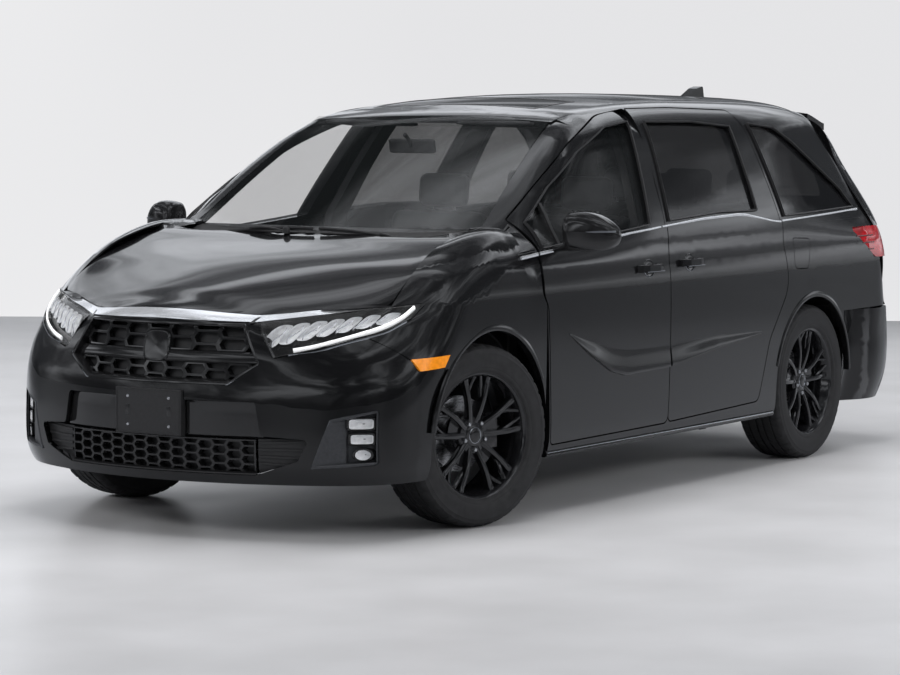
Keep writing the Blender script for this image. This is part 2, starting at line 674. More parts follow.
def rim_mesh():
    """Ten slim spokes in five pairs, webs near the rim, stepped barrel."""
    parts = [
        turned([(257.5, 97), (256, 101), (252, 101.5), (247, 98), (243, 92), (240, 80), (234, 66), (229, 50), (226, 10),
                (224, -40), (232, -72), (243, -84), (250, -97), (257, -99), (257.5, -95), (246, -88), (243, -70),
                (233, -45), (233, 45), (243, 62), (243, 88), (250, 94)], 120, closed=True),
        turned([(0.5, 12), (76, 12), (78, 30), (78, 50), (73, 57), (48, 60), (44, 64), (36, 66), (0.5, 66)], 60)]
    spoke = [(-13.5, -30), (-15, -10), (-12, 1), (-5, 4.5), (5, 4.5), (12, 1), (15, -10), (13.5, -30)]
    web = [(-7, -16), (-7, -3), (-3, 0), (3, 0), (7, -3), (7, -16)]
    shares = np.linspace(0, 1, 12)
    scale = [1.0 - 0.22 * math.sin(math.pi * s) for s in shares]
    for pair in range(5):
        middle = math.radians(72 * pair + 18)
        for lean in (-1, 1):
            line = [polar(52 + (243 - 52) * s, 57 + 14 * math.sin(math.pi * min(1.0, s * 1.1)) + 22 * s ** 2,
                          middle + lean * math.radians(17.0 - 2.0 * s)) for s in shares]
            parts.append(swept(line, spoke, up=(0, 1, 0), scale=scale))
        # webs between the pair's outer ends
        for lean in (-1, 1):
            line = [polar(150 + (243 - 150) * s, 66 + 20 * s ** 2, middle + lean * math.radians(15.0 - 11.5 * s))
                    for s in np.linspace(0, 1, 8)]
            parts.append(swept(line, web, up=(0, 1, 0)))
        # flat facet that fills the foot of the pair
        v, f = grid_mesh([[polar(r, 52 + 0.06 * r - 10, middle + math.radians(s * width))
                           for s in np.linspace(-1, 1, 5)] for r, width in ((70, 14.5), (110, 15.5), (138, 15.8))])
        n = len(v)
        parts.append((v + [(x, y - 12, z) for x, y, z in v], f + [tuple(i + n for i in reversed(q)) for q in f]))
    return parts


def lug_parts():
    out = []
    for k in range(5):
        x, y, z = polar(58, 56, math.radians(72 * k + 54))
        verts = []
        for level, r in ((0, 10.5), (12, 10.5), (16, 8.0), (18, 3.0)):
            for j in range(6):
                dx, _, dz = polar(r, 0, math.pi / 3 * j)
                verts.append((x + dx, y + level, z + dz))
        out.append((verts, ring_faces(4, 6) + [tuple(range(18, 24))]))
    return out


def wheel_matrix(front, side):
    """Place of a wheel whose outer face looks along +Y before it is turned."""
    turn = Matrix.Rotation(math.pi, 4, "Z") if side < 0 else Matrix.Identity(4)
    if not front:
        return Matrix.Translation((REAR_AXLE, HALF_TRACK * side, TYRE_R)) @ turn
    offset = (HALF_TRACK - KINGPIN) * side
    centre = (FRONT_AXLE - math.sin(STEER) * offset, KINGPIN * side + math.cos(STEER) * offset, TYRE_R)
    return Matrix.Translation(centre) @ Matrix.Rotation(STEER, 4, "Z") @ turn


def arc_block(a0, a1, count, section):
    """Section (radius, Y) points carried round the wheel's axis from one angle to another."""
    return grid_mesh([[polar(r, y, a) for r, y in section] for a in np.radians(np.linspace(a0, a1, count))])


TYRE_PART = tyre_mesh()
RIM_PARTS = rim_mesh()
LUGS = lug_parts()
DISC_PART = turned([(36, -46), (150, -46), (154, -45), (154, -40), (148, -39), (148, -33), (154, -32), (154, -26),
                    (150, -25), (92, -25), (86, -12), (76, 8), (36, 8)], 90)
CAP_PART = turned([(0.5, 69), (18, 68.6), (28, 67), (31, 64.5), (32, 62)], 40)
RING_PART = turned([(29.5, 66.0), (31, 68.2), (33, 67.6), (34.5, 64.5)], 40)
CALIPER = [arc_block(152, 208, 12, ((104, y0), (104, y1), (158, y1), (166, y1 - 5), (166, y0 + 5), (158, y0),
                                    (104, y0))) for y0, y1 in ((-19, 13), (-72, -51))]
CALIPER.append(arc_block(156, 204, 10, ((157, -70), (169, -66), (171, -30), (169, 8), (157, 12), (157, -70))))
for end in ("front", "rear"):
    for side, side_name in SIDES:
        name = end + "_" + side_name
        body = "wheel_" + name
        holder = "steer_" + side_name if end == "front" else "body"
        place = wheel_matrix(end == "front", side)
        for title, parts, mat, part_body, more in (
                ("tyre_tread_", [TYRE_PART], "tyre", body, {"replaces": ["tyre_" + name], "sharp": 28}),
                ("rim_spokes_", RIM_PARTS, "rim_black", body, {"replaces": ["rim_" + name], "sharp": 30}),
                ("lug_nuts_", LUGS, "lug", body, {"sharp": 25}),
                ("brake_disc_", [DISC_PART], "steel", body, {}),
                ("wheel_cap_", [CAP_PART], "gloss_black", body, {}),
                ("wheel_cap_ring_", [RING_PART], "bright_edge", body, {}),
                ("brake_caliper_", CALIPER, "lug", holder, {"sharp": 30})):
            joined(title + name, [moved(p, place) for p in parts], mat, part_body, **more)


# ---------------------------------------------------------------- front end
def hexagon(cy, cz, half_wide, half_high, slant):
    short = half_wide - slant
    return [(cy - half_wide, cz), (cy - short, cz - half_high), (cy + short, cz - half_high),
            (cy + half_wide, cz), (cy + short, cz + half_high), (cy - short, cz + half_high)]


def honeycomb(outline, pitch_y, pitch_z, wall, slant, near, far):
    """Hexagonal lattice on the nose, inside a convex outline of (Y, Z) points."""
    poly = np.array(outline, float)
    low, high = poly.min(0), poly.max(0)
    parts = []
    rows = int((high[1] - low[1]) / pitch_z) + 3
    columns = int((high[0] - low[0]) / (2 * (pitch_y - slant))) + 3
    for column in range(-columns, columns + 1):
        for row in range(-1, rows):
            cy = column * (2 * pitch_y - slant)
            cz = low[1] + row * pitch_z + (pitch_z / 2 if column % 2 else 0.0)
            if not (low[0] - pitch_y < cy < high[0] + pitch_y and low[1] - pitch_z < cz < high[1] + pitch_z):
                continue
            bm = bmesh.new()
            o, i = ([bm.verts.new((a, b, 0)) for a, b in ring] for ring in (
                hexagon(cy, cz, pitch_y, pitch_z / 2, slant),
                hexagon(cy, cz, pitch_y - wall, pitch_z / 2 - wall * 0.55, slant - wall * 0.25)))
            for k in range(6):
                bm.faces.new((o[k], o[(k + 1) % 6], i[(k + 1) % 6], i[k]))
            cut_convex(bm, poly)
            parts.append(flat_to_solid(bm, on_nose, near, far))
    return merged(parts)


def framed(rings):
    """Mesh of a frame from rings of points, the last ring joined to the first."""
    return [tuple(q) for r in rings for q in r], ring_faces(len(rings), len(rings[0]), closed=True)


def outline_band(outline, wide, place, near, far, count=90):
    """Frame that follows a closed outline, wide inward."""
    centre = np.array(outline, float).mean(0)
    ring = resampled(outline, count)
    size = np.abs(ring - centre).max(0)
    rings = []
    for inward, depth in ((0.0, far), (0.0, near + 3), (0.35, near), (1.0, near + 5), (1.0, far)):
        q = centre + (ring - centre) * (1 - inward * wide / size)
        rings.append(place(q[:, 0], q[:, 1], depth))
    return framed(rings)


def inset(outline, w):
    """Outline with each edge moved inward by w."""
    p = np.array(outline, float)
    turn = 1.0 if doubled_area(outline) > 0 else -1.0
    out = []
    for k in range(len(p)):
        e1, e2 = p[k] - p[k - 1], p[(k + 1) % len(p)] - p[k]
        e1, e2 = e1 / np.linalg.norm(e1), e2 / np.linalg.norm(e2)
        n1, n2 = turn * np.array([-e1[1], e1[0]]), turn * np.array([-e2[1], e2[0]])
        out.append(tuple(p[k] + w * (n1 + n2) / (1.0 + float(n1 @ n2))))
    return out


def band(outline, profile, place, per_edge=14):
    """Frame that follows a closed outline; the profile is a closed list of (distance inward, depth)."""
    shares = np.linspace(0, 1, per_edge, endpoint=False)[:, None]
    rings = []
    for w, depth in profile:
        q = np.array(inset(outline, w))
        line = np.vstack([a + (b - a) * shares for a, b in zip(q, np.roll(q, -1, 0))])
        rings.append(place(line[:, 0], line[:, 1], depth))
    return framed(rings)


def nose_point(y, z, depth):
    return (float(nose_x(y, z)) - depth, y, z)


def nose_line(points, depth):
    return [nose_point(y, z, depth) for y, z in points]


def nose_bar(y_reach, ends, count=60):
    """Bar across the nose; ends are (z, depth) of its section from below."""
    return grid_mesh([[nose_point(y, z, depth) for z, depth in ends] for y in np.linspace(-y_reach, y_reach, count)])


GRILLE = [(-463, 695), (-345, 611), (345, 611), (463, 695), (373, 848), (-373, 848)]
GRILLE_TOP = [(-455, 734), (455, 734), (372, 846), (-372, 846)]
GRILLE_LOW = [(-430, 692), (-340, 622), (340, 622), (430, 692)]
piece("grille_backing", *plate([GRILLE], on_nose, 66, 70, 24), "satin_black", replaces=["upper_grille"])
piece("grille_cells_top", *honeycomb(inset(GRILLE_TOP, 6), 62, 50, 9, 15, 33, 62), "gloss_black", sharp=20)
piece("grille_cells_low", *honeycomb(GRILLE_LOW, 53, 46, 8, 15, 35, 62), "gloss_black", sharp=20)
piece("grille_frame", *band(GRILLE, [(0, 72), (0, 2.0), (2.5, 0.0), (7, 0.5), (11, 5.0), (21, 36), (21, 72)], on_nose),
      "gloss_black", sharp=25)
trace = nose_line([(-372, 846), (-461, 695), (-344, 612.5), (344, 612.5), (461, 695), (372, 846)], 0.4)
piece("grille_frame_line", *swept(trace, round_section(1.4, 2.2, 8), up=(1, 0, 0)), "bright_edge")
piece("grille_bar", *nose_bar(447, [(690, 62), (692, 35), (697, 30), (716, 27.5), (733, 30), (738, 35), (740, 62)]),
      "gloss_black", sharp=25)
piece("grille_bar_top", *nose_bar(368, [(826, 62), (828, 36), (834, 32), (842, 34), (846, 62)]), "gloss_black",
      sharp=25)
# bare place for a badge: a plain rounded boss
boss = [[(float(nose_x(0, z)) - depth - y * y / 2600.0, y, z) for y, z in rounded(0, 753, 63, 61, 0.5, grow)]
        for grow, depth in ((1.0, 62), (1.0, 26), (0.955, 22.5), (0.9, 23.5), (0.86, 26), (0.5, 25.2), (0.02, 25))]
piece("grille_boss", *hoops(boss), "gloss_black", sharp=35)

# lower intake: recessed panel, honeycomb and ribbed wings
CELLS = [(-447, 402), (-447, 268), (447, 268), (447, 402)]
piece("lower_grille_backing", *plate([CELLS], on_nose, 62, 66, 24), "satin_black", replaces=["lower_grille"])
piece("lower_honeycomb", *honeycomb(CELLS, 36, 36, 6, 12, 26, 60), "satin_black", sharp=20)
piece("lower_grille_frame", *band(CELLS, [(0, 64), (0, 27), (2, 24), (6, 25), (7, 64)], on_nose), "gloss_black",
      sharp=25)
PANEL = ((409.5, 42), (410, 30), (413, 27.5), (420, 26.6), (500, 26.2), (538, 25), (546, 20), (549.5, 12), (549.6, 30))
panel_rows = []
for z, depth in PANEL:
    reach = np.interp(z, [410, 549], [477, 453])
    panel_rows.append([nose_point(y, z, depth) for y in np.linspace(-reach, reach, 60)])
piece("lower_panel", *grid_mesh(panel_rows), "gloss_black", sharp=30)
piece("intake_floor", *nose_bar(452, [(262.6, 66), (262.6, 6), (265, 4), (269, 9), (269, 66)]), "satin_black",
      sharp=30)
both("intake_wing", plate([[(452, 404), (652, 404), (613, 323), (452, 268)]], on_nose, 34, 38, 20), "satin_black")
ribs = []
for k in range(4):
    z0 = 388 - 26 * k
    y1 = 640 - 14 * k - max(0, 322 - z0) * 1.2
    line = nose_line([(y, z0 + (y - 455) * (0.05 - 0.04 * k)) for y in np.linspace(458, y1, 16)], 31)
    ribs.append(swept(line, [(-4, -5), (3.5, -4), (4.5, 0), (3.5, 4), (-4, 5)]))
both("intake_ribs", merged(ribs), "satin_black", sharp=35)
# the chrome band over the grille is parted by dark slanted gaps
both("bright_bar_break", plate([[(402, 893), (415, 893), (396, 850), (383, 850)]], on_nose, -0.9, 4, 12), "gloss_black")

# ---------------------------------------------------------------- headlamps
LAMP = [(400, 884), (505, 718), (640, 752), (845, 824), (893, 866), (905, 922), (815, 910)]
LAMP_CONVEX = [[(400, 884), (505, 718), (640, 752), (815, 910)],
               [(815, 910), (640, 752), (845, 824), (893, 866), (905, 922)]]
back = plate(LAMP_CONVEX, on_nose, 46, 52, 24)
piece("lamp_housing_left", *back, "gloss_black", replaces=["headlamps"])
piece("lamp_housing_right", *flipped(back), "gloss_black")
both("lamp_lens", plate(LAMP_CONVEX, on_nose, 0.5, 4, 14), "lens")
both("lamp_rim", outline_band(LAMP, 7, on_nose, 3, 40, 80), "gloss_black", sharp=30)
# white L of the running light along the outer and lower edge, and a silver line under it
light = smooth_line([(884, 908), (872, 876), (840, 842), (780, 812), (700, 782), (628, 760), (570, 748)], 44)
both("running_light", swept(nose_line(light, 9), round_section(4.5, 9.5, 10), up=(0, 0.1, 1)), "lamp_white")
thin = smooth_line([(560, 730), (640, 742), (740, 776), (840, 812), (888, 856)], 40)
both("lamp_silver_line", swept(nose_line(thin, 2), round_section(1.8, 4.0, 8), up=(0, 0.1, 1)), "bright_edge")
# seven reflector bowls with fins between them
bowls, fins = [], []
for k in range(7):
    s = k / 6.0
    cy, cz = 492 + 338 * s, 800 + 68 * s
    high, wide = 44 - 22 * s, 30 - 8 * s
    rows = []
    for grow, depth in ((1.0, 12), (0.96, 18), (0.75, 32), (0.4, 40), (0.05, 42)):
        ring = []
        for a in np.linspace(0, 2 * math.pi, 25):
            dy, dz = wide * grow * bowed(math.cos(a), 0.6), high * grow * bowed(math.sin(a), 0.6)
            ring.append(nose_point(cy + dy + 0.45 * dz, cz + dz, depth))
        rows.append(ring)
    bowls.append(grid_mesh(rows))
    s = (k + 0.5) / 6.8
    cy, cz = 478 + 345 * s, 792 + 72 * s
    line = nose_line([(cy + 0.5 * t + 6 * math.sin(t / 9.0), cz + t)
                      for t in np.linspace(-36 + 14 * s, 36 - 14 * s, 12)], 10 + k % 3)
    fins.append(swept(line, round_section(2.2, 3.6, 8), up=(1, 0, 0)))
both("lamp_reflectors", merged(bowls), "reflector", recalc=False, sharp=40)
both("lamp_fins", merged(fins), "chrome", sharp=40)

# ---------------------------------------------------------------- fog lamp bezels
FOG = [(660, 293), (874, 306), (874, 526), (725, 485)]
both("fog_bezel_frame", band(FOG, [(0, 46), (0, 1.0), (2.5, -1.2), (9, -0.8), (12, 2), (15, 30), (15, 46)], on_nose),
     "dark_grey", sharp=25)
both("fog_bezel_edge", swept(nose_line([(726, 483), (661.5, 294.5), (872, 307.5)], -0.4), round_section(1.2, 1.8, 8),
                             up=(1, 0, 0)), "bright_edge")
back = plate([FOG], on_nose, 40, 46, 22)
piece("fog_backing_left", *back, "dark_grey", replaces=["fog_lamps"])
piece("fog_backing_right", *flipped(back), "dark_grey")
wing_rows = []
for s in np.linspace(0, 1, 9):
    z, inner, outer = 305 + 178 * s, 672 + 62 * s, 768 + 4 * s
    wing_rows.append([nose_point(y, z, depth) for y, depth in (
        (inner, 40), (inner, 2.0), (inner + 4, 1.0), (outer - 12, 17), (outer, 22), (outer, 40))])
both("fog_wing", grid_mesh(wing_rows), "dark_grey", sharp=25)
LAMPS = ((815, 467, 35, 19, 0.32), (818, 408, 32, 18, 0.32), (821, 347, 22, 20, 1.0))
for level, (cy, cz, wide, high, power) in enumerate(LAMPS):
    def lamp_rings(steps):
        return hoops([nose_line(rounded(cy, cz, wide, high, power, grow, 32), depth) for grow, depth in steps])

    both("fog_bowl_%d" % level, lamp_rings(((1.0, 16), (0.95, 21), (0.7, 31), (0.1, 36))), "reflector", recalc=False)
    both("fog_rim_%d" % level, hoops([nose_line(rounded(cy, cz, wide + extra, high + extra * 0.8, power), depth)
                                      for extra, depth in ((9, 40), (9, 15), (6, 11), (2, 12), (1, 24))]),
         "gloss_black", sharp=35)
    both("fog_lens_%d" % level, lamp_rings(((1.0, 15), (0.9, 13.5), (0.5, 12.5), (0.03, 12))), "lens")

# ---------------------------------------------------------------- plate bracket, bare
PLATE_BACK_X, PLATE_X = 2567.5, 2601.0
joined("plate_plain", [block(PLATE_BACK_X, PLATE_X, -160, 160, 405, 587, 5)], "satin_black",
       replaces=["plate_bracket"], sharp=25)
lip = [(PLATE_X - 0.5, y, z) for y, z in ((-152, 412), (152, 412), (152, 580), (-152, 580))]
piece("plate_lip", *swept(lip, round_section(2.2, 2.2, 8), up=(1, 0, 0), closed=True), "satin_black")
BOLT = turned([(0.2, 3.6), (3.5, 3.4), (6.0, 1.8), (7.0, 0)], 16, axis="z")
FORWARD, BACKWARD = Matrix.Rotation(math.pi / 2, 4, "Y"), Matrix.Rotation(-math.pi / 2, 4, "Y")
joined("plate_bolts", [moved(BOLT, Matrix.Translation((PLATE_X, y, z)) @ FORWARD)
                       for y in (-100, 100) for z in (440, 552)], "lug")
joined("plate_slots", [block(PLATE_X - 3, PLATE_X + 0.6, y - 11, y + 11, 478, 520, 3) for y in (-100, 100)],
       "gloss_black")

# ---------------------------------------------------------------- body sides
BELT_LINE = [(-2093, 1180), (-1107, 1150), (-1020, 1155), (-750, 1194), (-666, 1198), (-313, 1189), (63, 1167),
             (381, 1148), (1014, 1104), (1363, 1077)]


def side_points(xs, zs, depth):
    return [tuple(p) for p in on_side(np.array(xs, float), np.array(zs, float), depth)]


def side_strip(x0, x1, height, section, depth=-1.0, count=40):
    xs = np.linspace(x0, x1, count)
    return swept(side_points(xs, [height(x) for x in xs], depth), section)


BRIGHT = [(-4, -6.5), (2.0, -6.5), (3.6, -3.5), (3.6, 3.5), (2.0, 6.5), (-4, 6.5)]
for name, x0, x1, rise, depth, bodies in (
        ("front", 1188, 112, -3, -1.0, DOORS), ("middle", 98, -1096, -3, -1.0, ()),
        ("rear", -1112, -2080, 1, -0.5, ()), ("corner", 1345, 1204, -3, -1.0, ())):
    strip = side_strip(x0, x1, lambda x: along(BELT_LINE, x) + rise, BRIGHT, depth)
    both("belt_strip_" + name, strip, "chrome", *bodies, sharp=40)

WINDOWS = {
    "front": [(1145, 1107), (1137, 1215), (893, 1355), (571, 1497), (245, 1602), (13, 1624), (200, 1176), (381, 1161)],
    "sliding": [(10, 1188), (-148, 1623), (-595, 1622), (-961, 1598), (-882, 1208), (-495, 1210)],
    "quarter": [(-1160, 1175), (-1175, 1610), (-1441, 1590), (-1580, 1525), (-1962, 1285), (-2042, 1195)]}
SEAL = [(-3, -7), (3.0, -7 * 0.7), (3.0, 7 * 0.7), (-3, 7)]
for name, outline in WINDOWS.items():
    seal = swept(side_points(*resampled(outline, 150).T, 1.0), SEAL, up=(0, 1, 0.6), closed=True)
    both("seal_%s_window" % name, seal, "satin_black", *(DOORS if name == "front" else ()), sharp=40)
both("window_divider", swept(side_points((1003, 1003, 1001, 998), (1108, 1180, 1240, 1288), 2.0),
                             [(-5, -11), (4, -11), (4, 11), (-5, 11)], up=(1, 0, 0)), "satin_black", *DOORS, sharp=40)
both("corner_pane", plate([[(1204, 1106), (1346, 1096), (1330, 1118), (1204, 1196)]], on_side, -1.2, 3, 30),
     "dark_glass")
both("corner_pane_frame", outline_band([(1200, 1098), (1356, 1086), (1336, 1122), (1200, 1206)], 9, on_side, -2.2, 3,
                                       60), "satin_black", sharp=40)
# black slot of the sliding door's rail under the quarter window
both("door_rail_slot", side_strip(-1112, -2062, lambda x: 1126 + 0.012 * (-1112 - x),
                                  [(-5, -5), (1.0, -5), (1.0, 5), (-5, 5)], depth=-0.2), "satin_black", sharp=40)

# crease along the doors: the panel leans outward below the upper line and turns in at the lower one
UPPER_EDGE = [(-813, 649), (-343, 659), (139, 640), (470, 643), (640, 663), (876, 716), (1005, 749)]
LOWER_EDGE = [(-813, 640), (-345, 600), (118, 545), (522, 536), (642, 561), (828, 647), (1005, 745)]
CREASE_REACH, CREASE_HEIGHT = 10.0, 70.0
# (share of the height from above, lift); no lift is the buried back
CREASE = ((0, 0.0), (0.15, 0.10), (0.35, 0.33), (0.6, 0.66), (0.85, 0.95), (0.93, 1.0), (0.975, 0.8), (1.0, 0.1),
          (1.0, None), (0.5, None), (0.0, None))


def crease(x0, x1):
    rows = []
    for x in np.linspace(x0, x1, 60):
        top, low = along(UPPER_EDGE, x), along(LOWER_EDGE, x)
        reach = CREASE_REACH * min(1.0, max(0.0, (top - low) / CREASE_HEIGHT)) ** 0.8
        rows.append([side_points([x], [top + (low - top) * v], 3.0 if lift is None else -0.25 - reach * lift)[0]
                     for v, lift in CREASE])
    n = len(CREASE) + 1
    v, f = hoops(rows)
    return v, f + [tuple(range(n - 1)), tuple((len(rows) - 1) * n + k for k in reversed(range(n - 1)))]


both("door_crease_front", crease(1000, 109), "paint", *DOORS, sharp=30)
both("door_crease_rear", crease(95, -811), "paint", sharp=30)

# sill skirt with its bright edge
SKIRT = [(-10, -24), (9, -22), (15, -14), (12, -6), (3, 8), (-8, 16)]
both("sill_skirt", side_strip(1150, -985, lambda x: 262.0, SKIRT, depth=2.0, count=50), "paint", sharp=40)
both("sill_bright_edge", side_strip(1140, -980, lambda x: 256.0, round_section(1.6, 2.0, 8), depth=-11.6, count=50),
     "bright_edge")

# rolled lips round the wheel openings; (offset from the radius, depth)
LIP = ((-3, 26), (-3, 3), (-2, -3), (4, -5.5), (13, -4.0), (24, -0.4), (24, 4), (5, 6), (-3, 26))
for name, cx, radius, a0, a1 in (("front", FRONT_AXLE, 426, 6, 152), ("rear", REAR_AXLE, 413, 14, 176)):
    both("arch_lip_" + name, grid_mesh([[side_points([cx + (radius + dr) * math.cos(a)],
                                                     [TYRE_R + (radius + dr) * math.sin(a)], depth)[0]
                                         for dr, depth in LIP] for a in np.radians(np.linspace(a0, a1, 70))]),
         "paint", sharp=35)

# orange side marker
both("side_marker", plate([[(2136, 712), (1931, 719), (1968, 672), (2104, 664)]], on_side, -2.5, 6, 24), "amber",
     sharp=30)

# door handles: bowl, lower edge and a line along the grip
for name, hx, hz, bodies in (("front", 295, 991, DOORS), ("sliding", -91, 1001, ())):
    ring = np.radians(np.linspace(0, 360, 33)[:-1])
    bowl = hoops([side_points(hx + 46 * grow * np.cos(ring), hz + 37 * grow * np.sin(ring), depth)
                  for grow, depth in ((1.08, 1.0), (1.0, -1.6), (0.9, -0.6), (0.5, -0.2), (0.05, -0.1))])
    both("handle_bowl_" + name, bowl, "gloss_black", *bodies)
    arc = np.radians(np.linspace(195, 345, 24))
    both("handle_edge_" + name, swept(side_points(hx + 49 * np.cos(arc), hz + 39 * np.sin(arc), -1.5),
                                      round_section(1.3, 1.6, 8), up=(0, 0.3, 1)), "bright_edge", *bodies)
    both("handle_line_" + name, side_strip(hx + 78, hx - 78, lambda x: hz - 13.5, round_section(1.1, 1.4, 8),
                                           depth=-35.5, count=16), "bright_edge", *bodies)


# ---------------------------------------------------------------- mirrors
def mirror_ring(t, angle):
    """Point of the mirror shell; t runs outward and angle round the ring."""
    y = 1009 + 205 * t
    low = 1094 + 4 * t + 34 * max(0.0, t - 0.6) ** 2 * 6
    high = 1250 + 14 * math.sin(math.pi * min(1.0, t * 1.1)) - 62 * t ** 3
    front = 1118 - 22 * t - 92 * t ** 2.2
    back = 962 - 20 * t
    end = max(0.0, (t - 0.88) / 0.12)
    shrink = math.sqrt(max(0.0, 1 - end ** 2.2)) * (0.8 + 0.2 * min(1.0, t / 0.06))
    x = (front + back) / 2 + (front - back) / 2 * shrink * bowed(math.cos(angle), 0.62)
    z = (low + high) / 2 + (high - low) / 2 * shrink * bowed(math.sin(angle), 0.62)
    return (float(x), y, float(z))


TURN = np.linspace(0, 2 * math.pi, 41)
shell_v, shell_f = hoops([[mirror_ring(t, a) for a in TURN[:-1]] for t in (
    0.0, 0.03, 0.08, 0.16, 0.26, 0.38, 0.5, 0.62, 0.73, 0.82, 0.88, 0.92, 0.95, 0.975, 0.99, 1.0)])
arm = hoops([[(1050 + 34 * bowed(math.cos(a), 0.6), y, 1103 + 12 * share + (13 + 5 * share) * bowed(math.sin(a), 0.6))
              for a in TURN[:-1:2]] for share, y in ((0, 944), (0.3, 975), (0.7, 1000), (1, 1024))])
shell = merged([(shell_v, shell_f + [tuple(range(40))]), arm])
for side_name, part in (("left", shell), ("right", flipped(shell))):
    piece("mirror_shell_" + side_name, *part, "gloss_black", "door_" + side_name, replaces=["mirror_" + side_name],
          sharp=50)
line = []
for t in np.linspace(0.50, 0.97, 26):
    x, y, z = mirror_ring(t, -0.02)
    line.append((x + 0.6, y, 1176 + 4 * t))
both("mirror_indicator", swept(line, [(-1.5, -1.0), (1.5, -4.0), (1.8, 4.0), (-1.5, 4.5)],
                               scale=[min(1.0, 0.1 + 3.0 * (k / 25)) for k in range(26)]), "bright_edge", *DOORS,
     sharp=40)
glass_rows = []
for grow, dx in ((1.0, 0.0), (0.97, -2.5), (0.9, -2.0), (0.5, -1.6), (0.02, -1.5)):
    ring = [(84 * grow * bowed(math.cos(a), 0.5), 58 * grow * bowed(math.sin(a), 0.5)) for a in TURN]
    glass_rows.append([(948 + dx - 0.05 * y, 1112 + y, 1172 + z) for y, z in ring])
both("mirror_glass", grid_mesh(glass_rows), "mirror_glass", *DOORS)
seam = [mirror_ring(t, math.pi * 0.30) for t in np.linspace(0.05, 0.9, 30)]
both("mirror_seam", swept(seam, round_section(1.0, 1.0, 6), up=(1, 0, 0)), "satin_black", *DOORS)


# ---------------------------------------------------------------- cowl and wipers
def over_glass(x, y, height):
    return (x, y, float(windshield_height(x, y)) + height)


RUBBER = [(-3, -9), (-1.2, -3), (-5, -1), (-5, 3), (0, 7), (5, 3), (5, -1), (1.2, -3), (3, -9)]
for name, pivot, blade in (("left", (1560, 560), ((1452, 690), (1512, 420), (1536, 90))),
                           ("right", (1592, -60), ((1540, 60), (1536, -260), (1488, -560)))):
    path = [over_glass(x, y, 13) for x, y in smooth_line(blade, 26)]
    mid = path[13]
    start = over_glass(pivot[0] - 30, pivot[1], 10)
    arm = smooth_line([start[:2], ((start[0] + mid[0]) / 2 + 4, (start[1] + mid[1]) / 2), mid[:2]], 14)
    heights = np.linspace(start[2], mid[2] + 8, 14) + 10 * np.sin(np.linspace(0, math.pi, 14))
    joined("wiper_" + name, [
        swept(path, RUBBER, up=(0.4, 0, 1)),
        swept([(x, y, z) for (x, y), z in zip(arm, heights)], [(-7, -2), (-5, 3), (5, 3), (7, -2)]),
        turned([(0.2, 20), (10, 19), (15, 12), (16, -8)], 20, start, axis="z")], "satin_black", sharp=35)


# ---------------------------------------------------------------- seats
FLUTE_DEPTH, FLUTE_WIDTH = 5.0, 7.0


def pad(centre, half, radius, crown, lean=0.0, flutes=(), across=(), count=20, front=(0, 0, 1)):
    """Stuffed pad: a rounded box whose big face is crowned and drawn in along its seams; front is its big face."""
    half = np.array(half, float)
    verts, faces, index = [], [], {}
    ticks = np.linspace(-1, 1, count + 1)
    front = np.array(front, float)

    def point(p):
        key = tuple(np.round(p, 5))
        if key in index:
            return index[key]
        p = np.array(p, float)
        q = np.clip(p * half, -(half - radius), half - radius)
        d = p * half - q
        n = np.linalg.norm(d)
        out = q + (d / n * min(radius, n * 1.25) if n > 1e-9 else 0)
        flat = [k for k in range(3) if abs(front[k]) < 0.5]
        a, b = p[flat[0]], p[flat[1]]
        share = max(0.0, float(p @ front))
        rise = crown * (1 - a * a) * (1 - b * b)
        for places, at, k in ((flutes, b, flat[1]), (across, a, flat[0])):
            for f in places:
                rise -= FLUTE_DEPTH * math.exp(-((at - f) * half[k] / FLUTE_WIDTH) ** 2)
        out = out + front * rise * share ** 2
        index[key] = len(verts)
        verts.append(out)
        return index[key]

    for axis in range(3):
        for sign in (-1, 1):
            for i in range(count):
                for j in range(count):
                    quad = []
                    for di, dj in ((0, 0), (1, 0), (1, 1), (0, 1)):
                        p = [0.0, 0.0, 0.0]
                        p[axis], p[(axis + 1) % 3], p[(axis + 2) % 3] = sign, ticks[i + di], ticks[j + dj]
                        quad.append(point(p))
                    faces.append(tuple(quad) if sign > 0 else tuple(reversed(quad)))
    turn = Matrix.Rotation(math.radians(lean), 3, "Y")
    moved_verts = [tuple(Vector(centre) + turn @ Vector(v)) for v in verts]
    return moved_verts, faces


def seat_parts(x, y0, y1, base, places):
    """Pads of one seat, with a headrest over each place, and the headrests' posts."""
    mid, half = (y0 + y1) / 2, (y1 - y0) / 2
    single = places == 1
    flutes = (-0.55, 0.55) if single else tuple(np.linspace(-0.66, 0.66, 2 * places - 1))
    pads = [pad((x + 225, mid, base + 88), (285, half - 4, 66), 40, 16, 3.0, flutes, (-0.35, 0.3), 24),
            pad((x - 72, mid, 905), (62, half - 8, 292), 44, 15, -9.0, flutes, (), 24, front=(1, 0, 0))]
    posts = []
    for side in (-1, 1) if single else ():
        pads.append(pad((x + 235, mid + side * (half - 36), base + 112), (262, 34, 58), 30, 6, 3.0, (), (), 12))
        pads.append(pad((x - 40, mid + side * (half - 34), 880), (58, 32, 235), 30, 6, -9.0, (), (), 12,
                        front=(1, 0, 0)))
    for k in range(places):
        cy = mid + (k - (places - 1) / 2) * (y1 - y0) / places
        pads.append(pad((x - 146, cy, 1292), (46, 126, 78), 38, 10, -6.0, (), (-0.5,) if single else (), 14,
                        front=(1, 0, 0)))
        posts += [turned([(5.5, -70), (6, -60), (6, 60), (5.5, 70)], 14, (x - 148, cy + side * 58, 1205), axis="z")
                  for side in (-1, 1)]
    return pads, posts


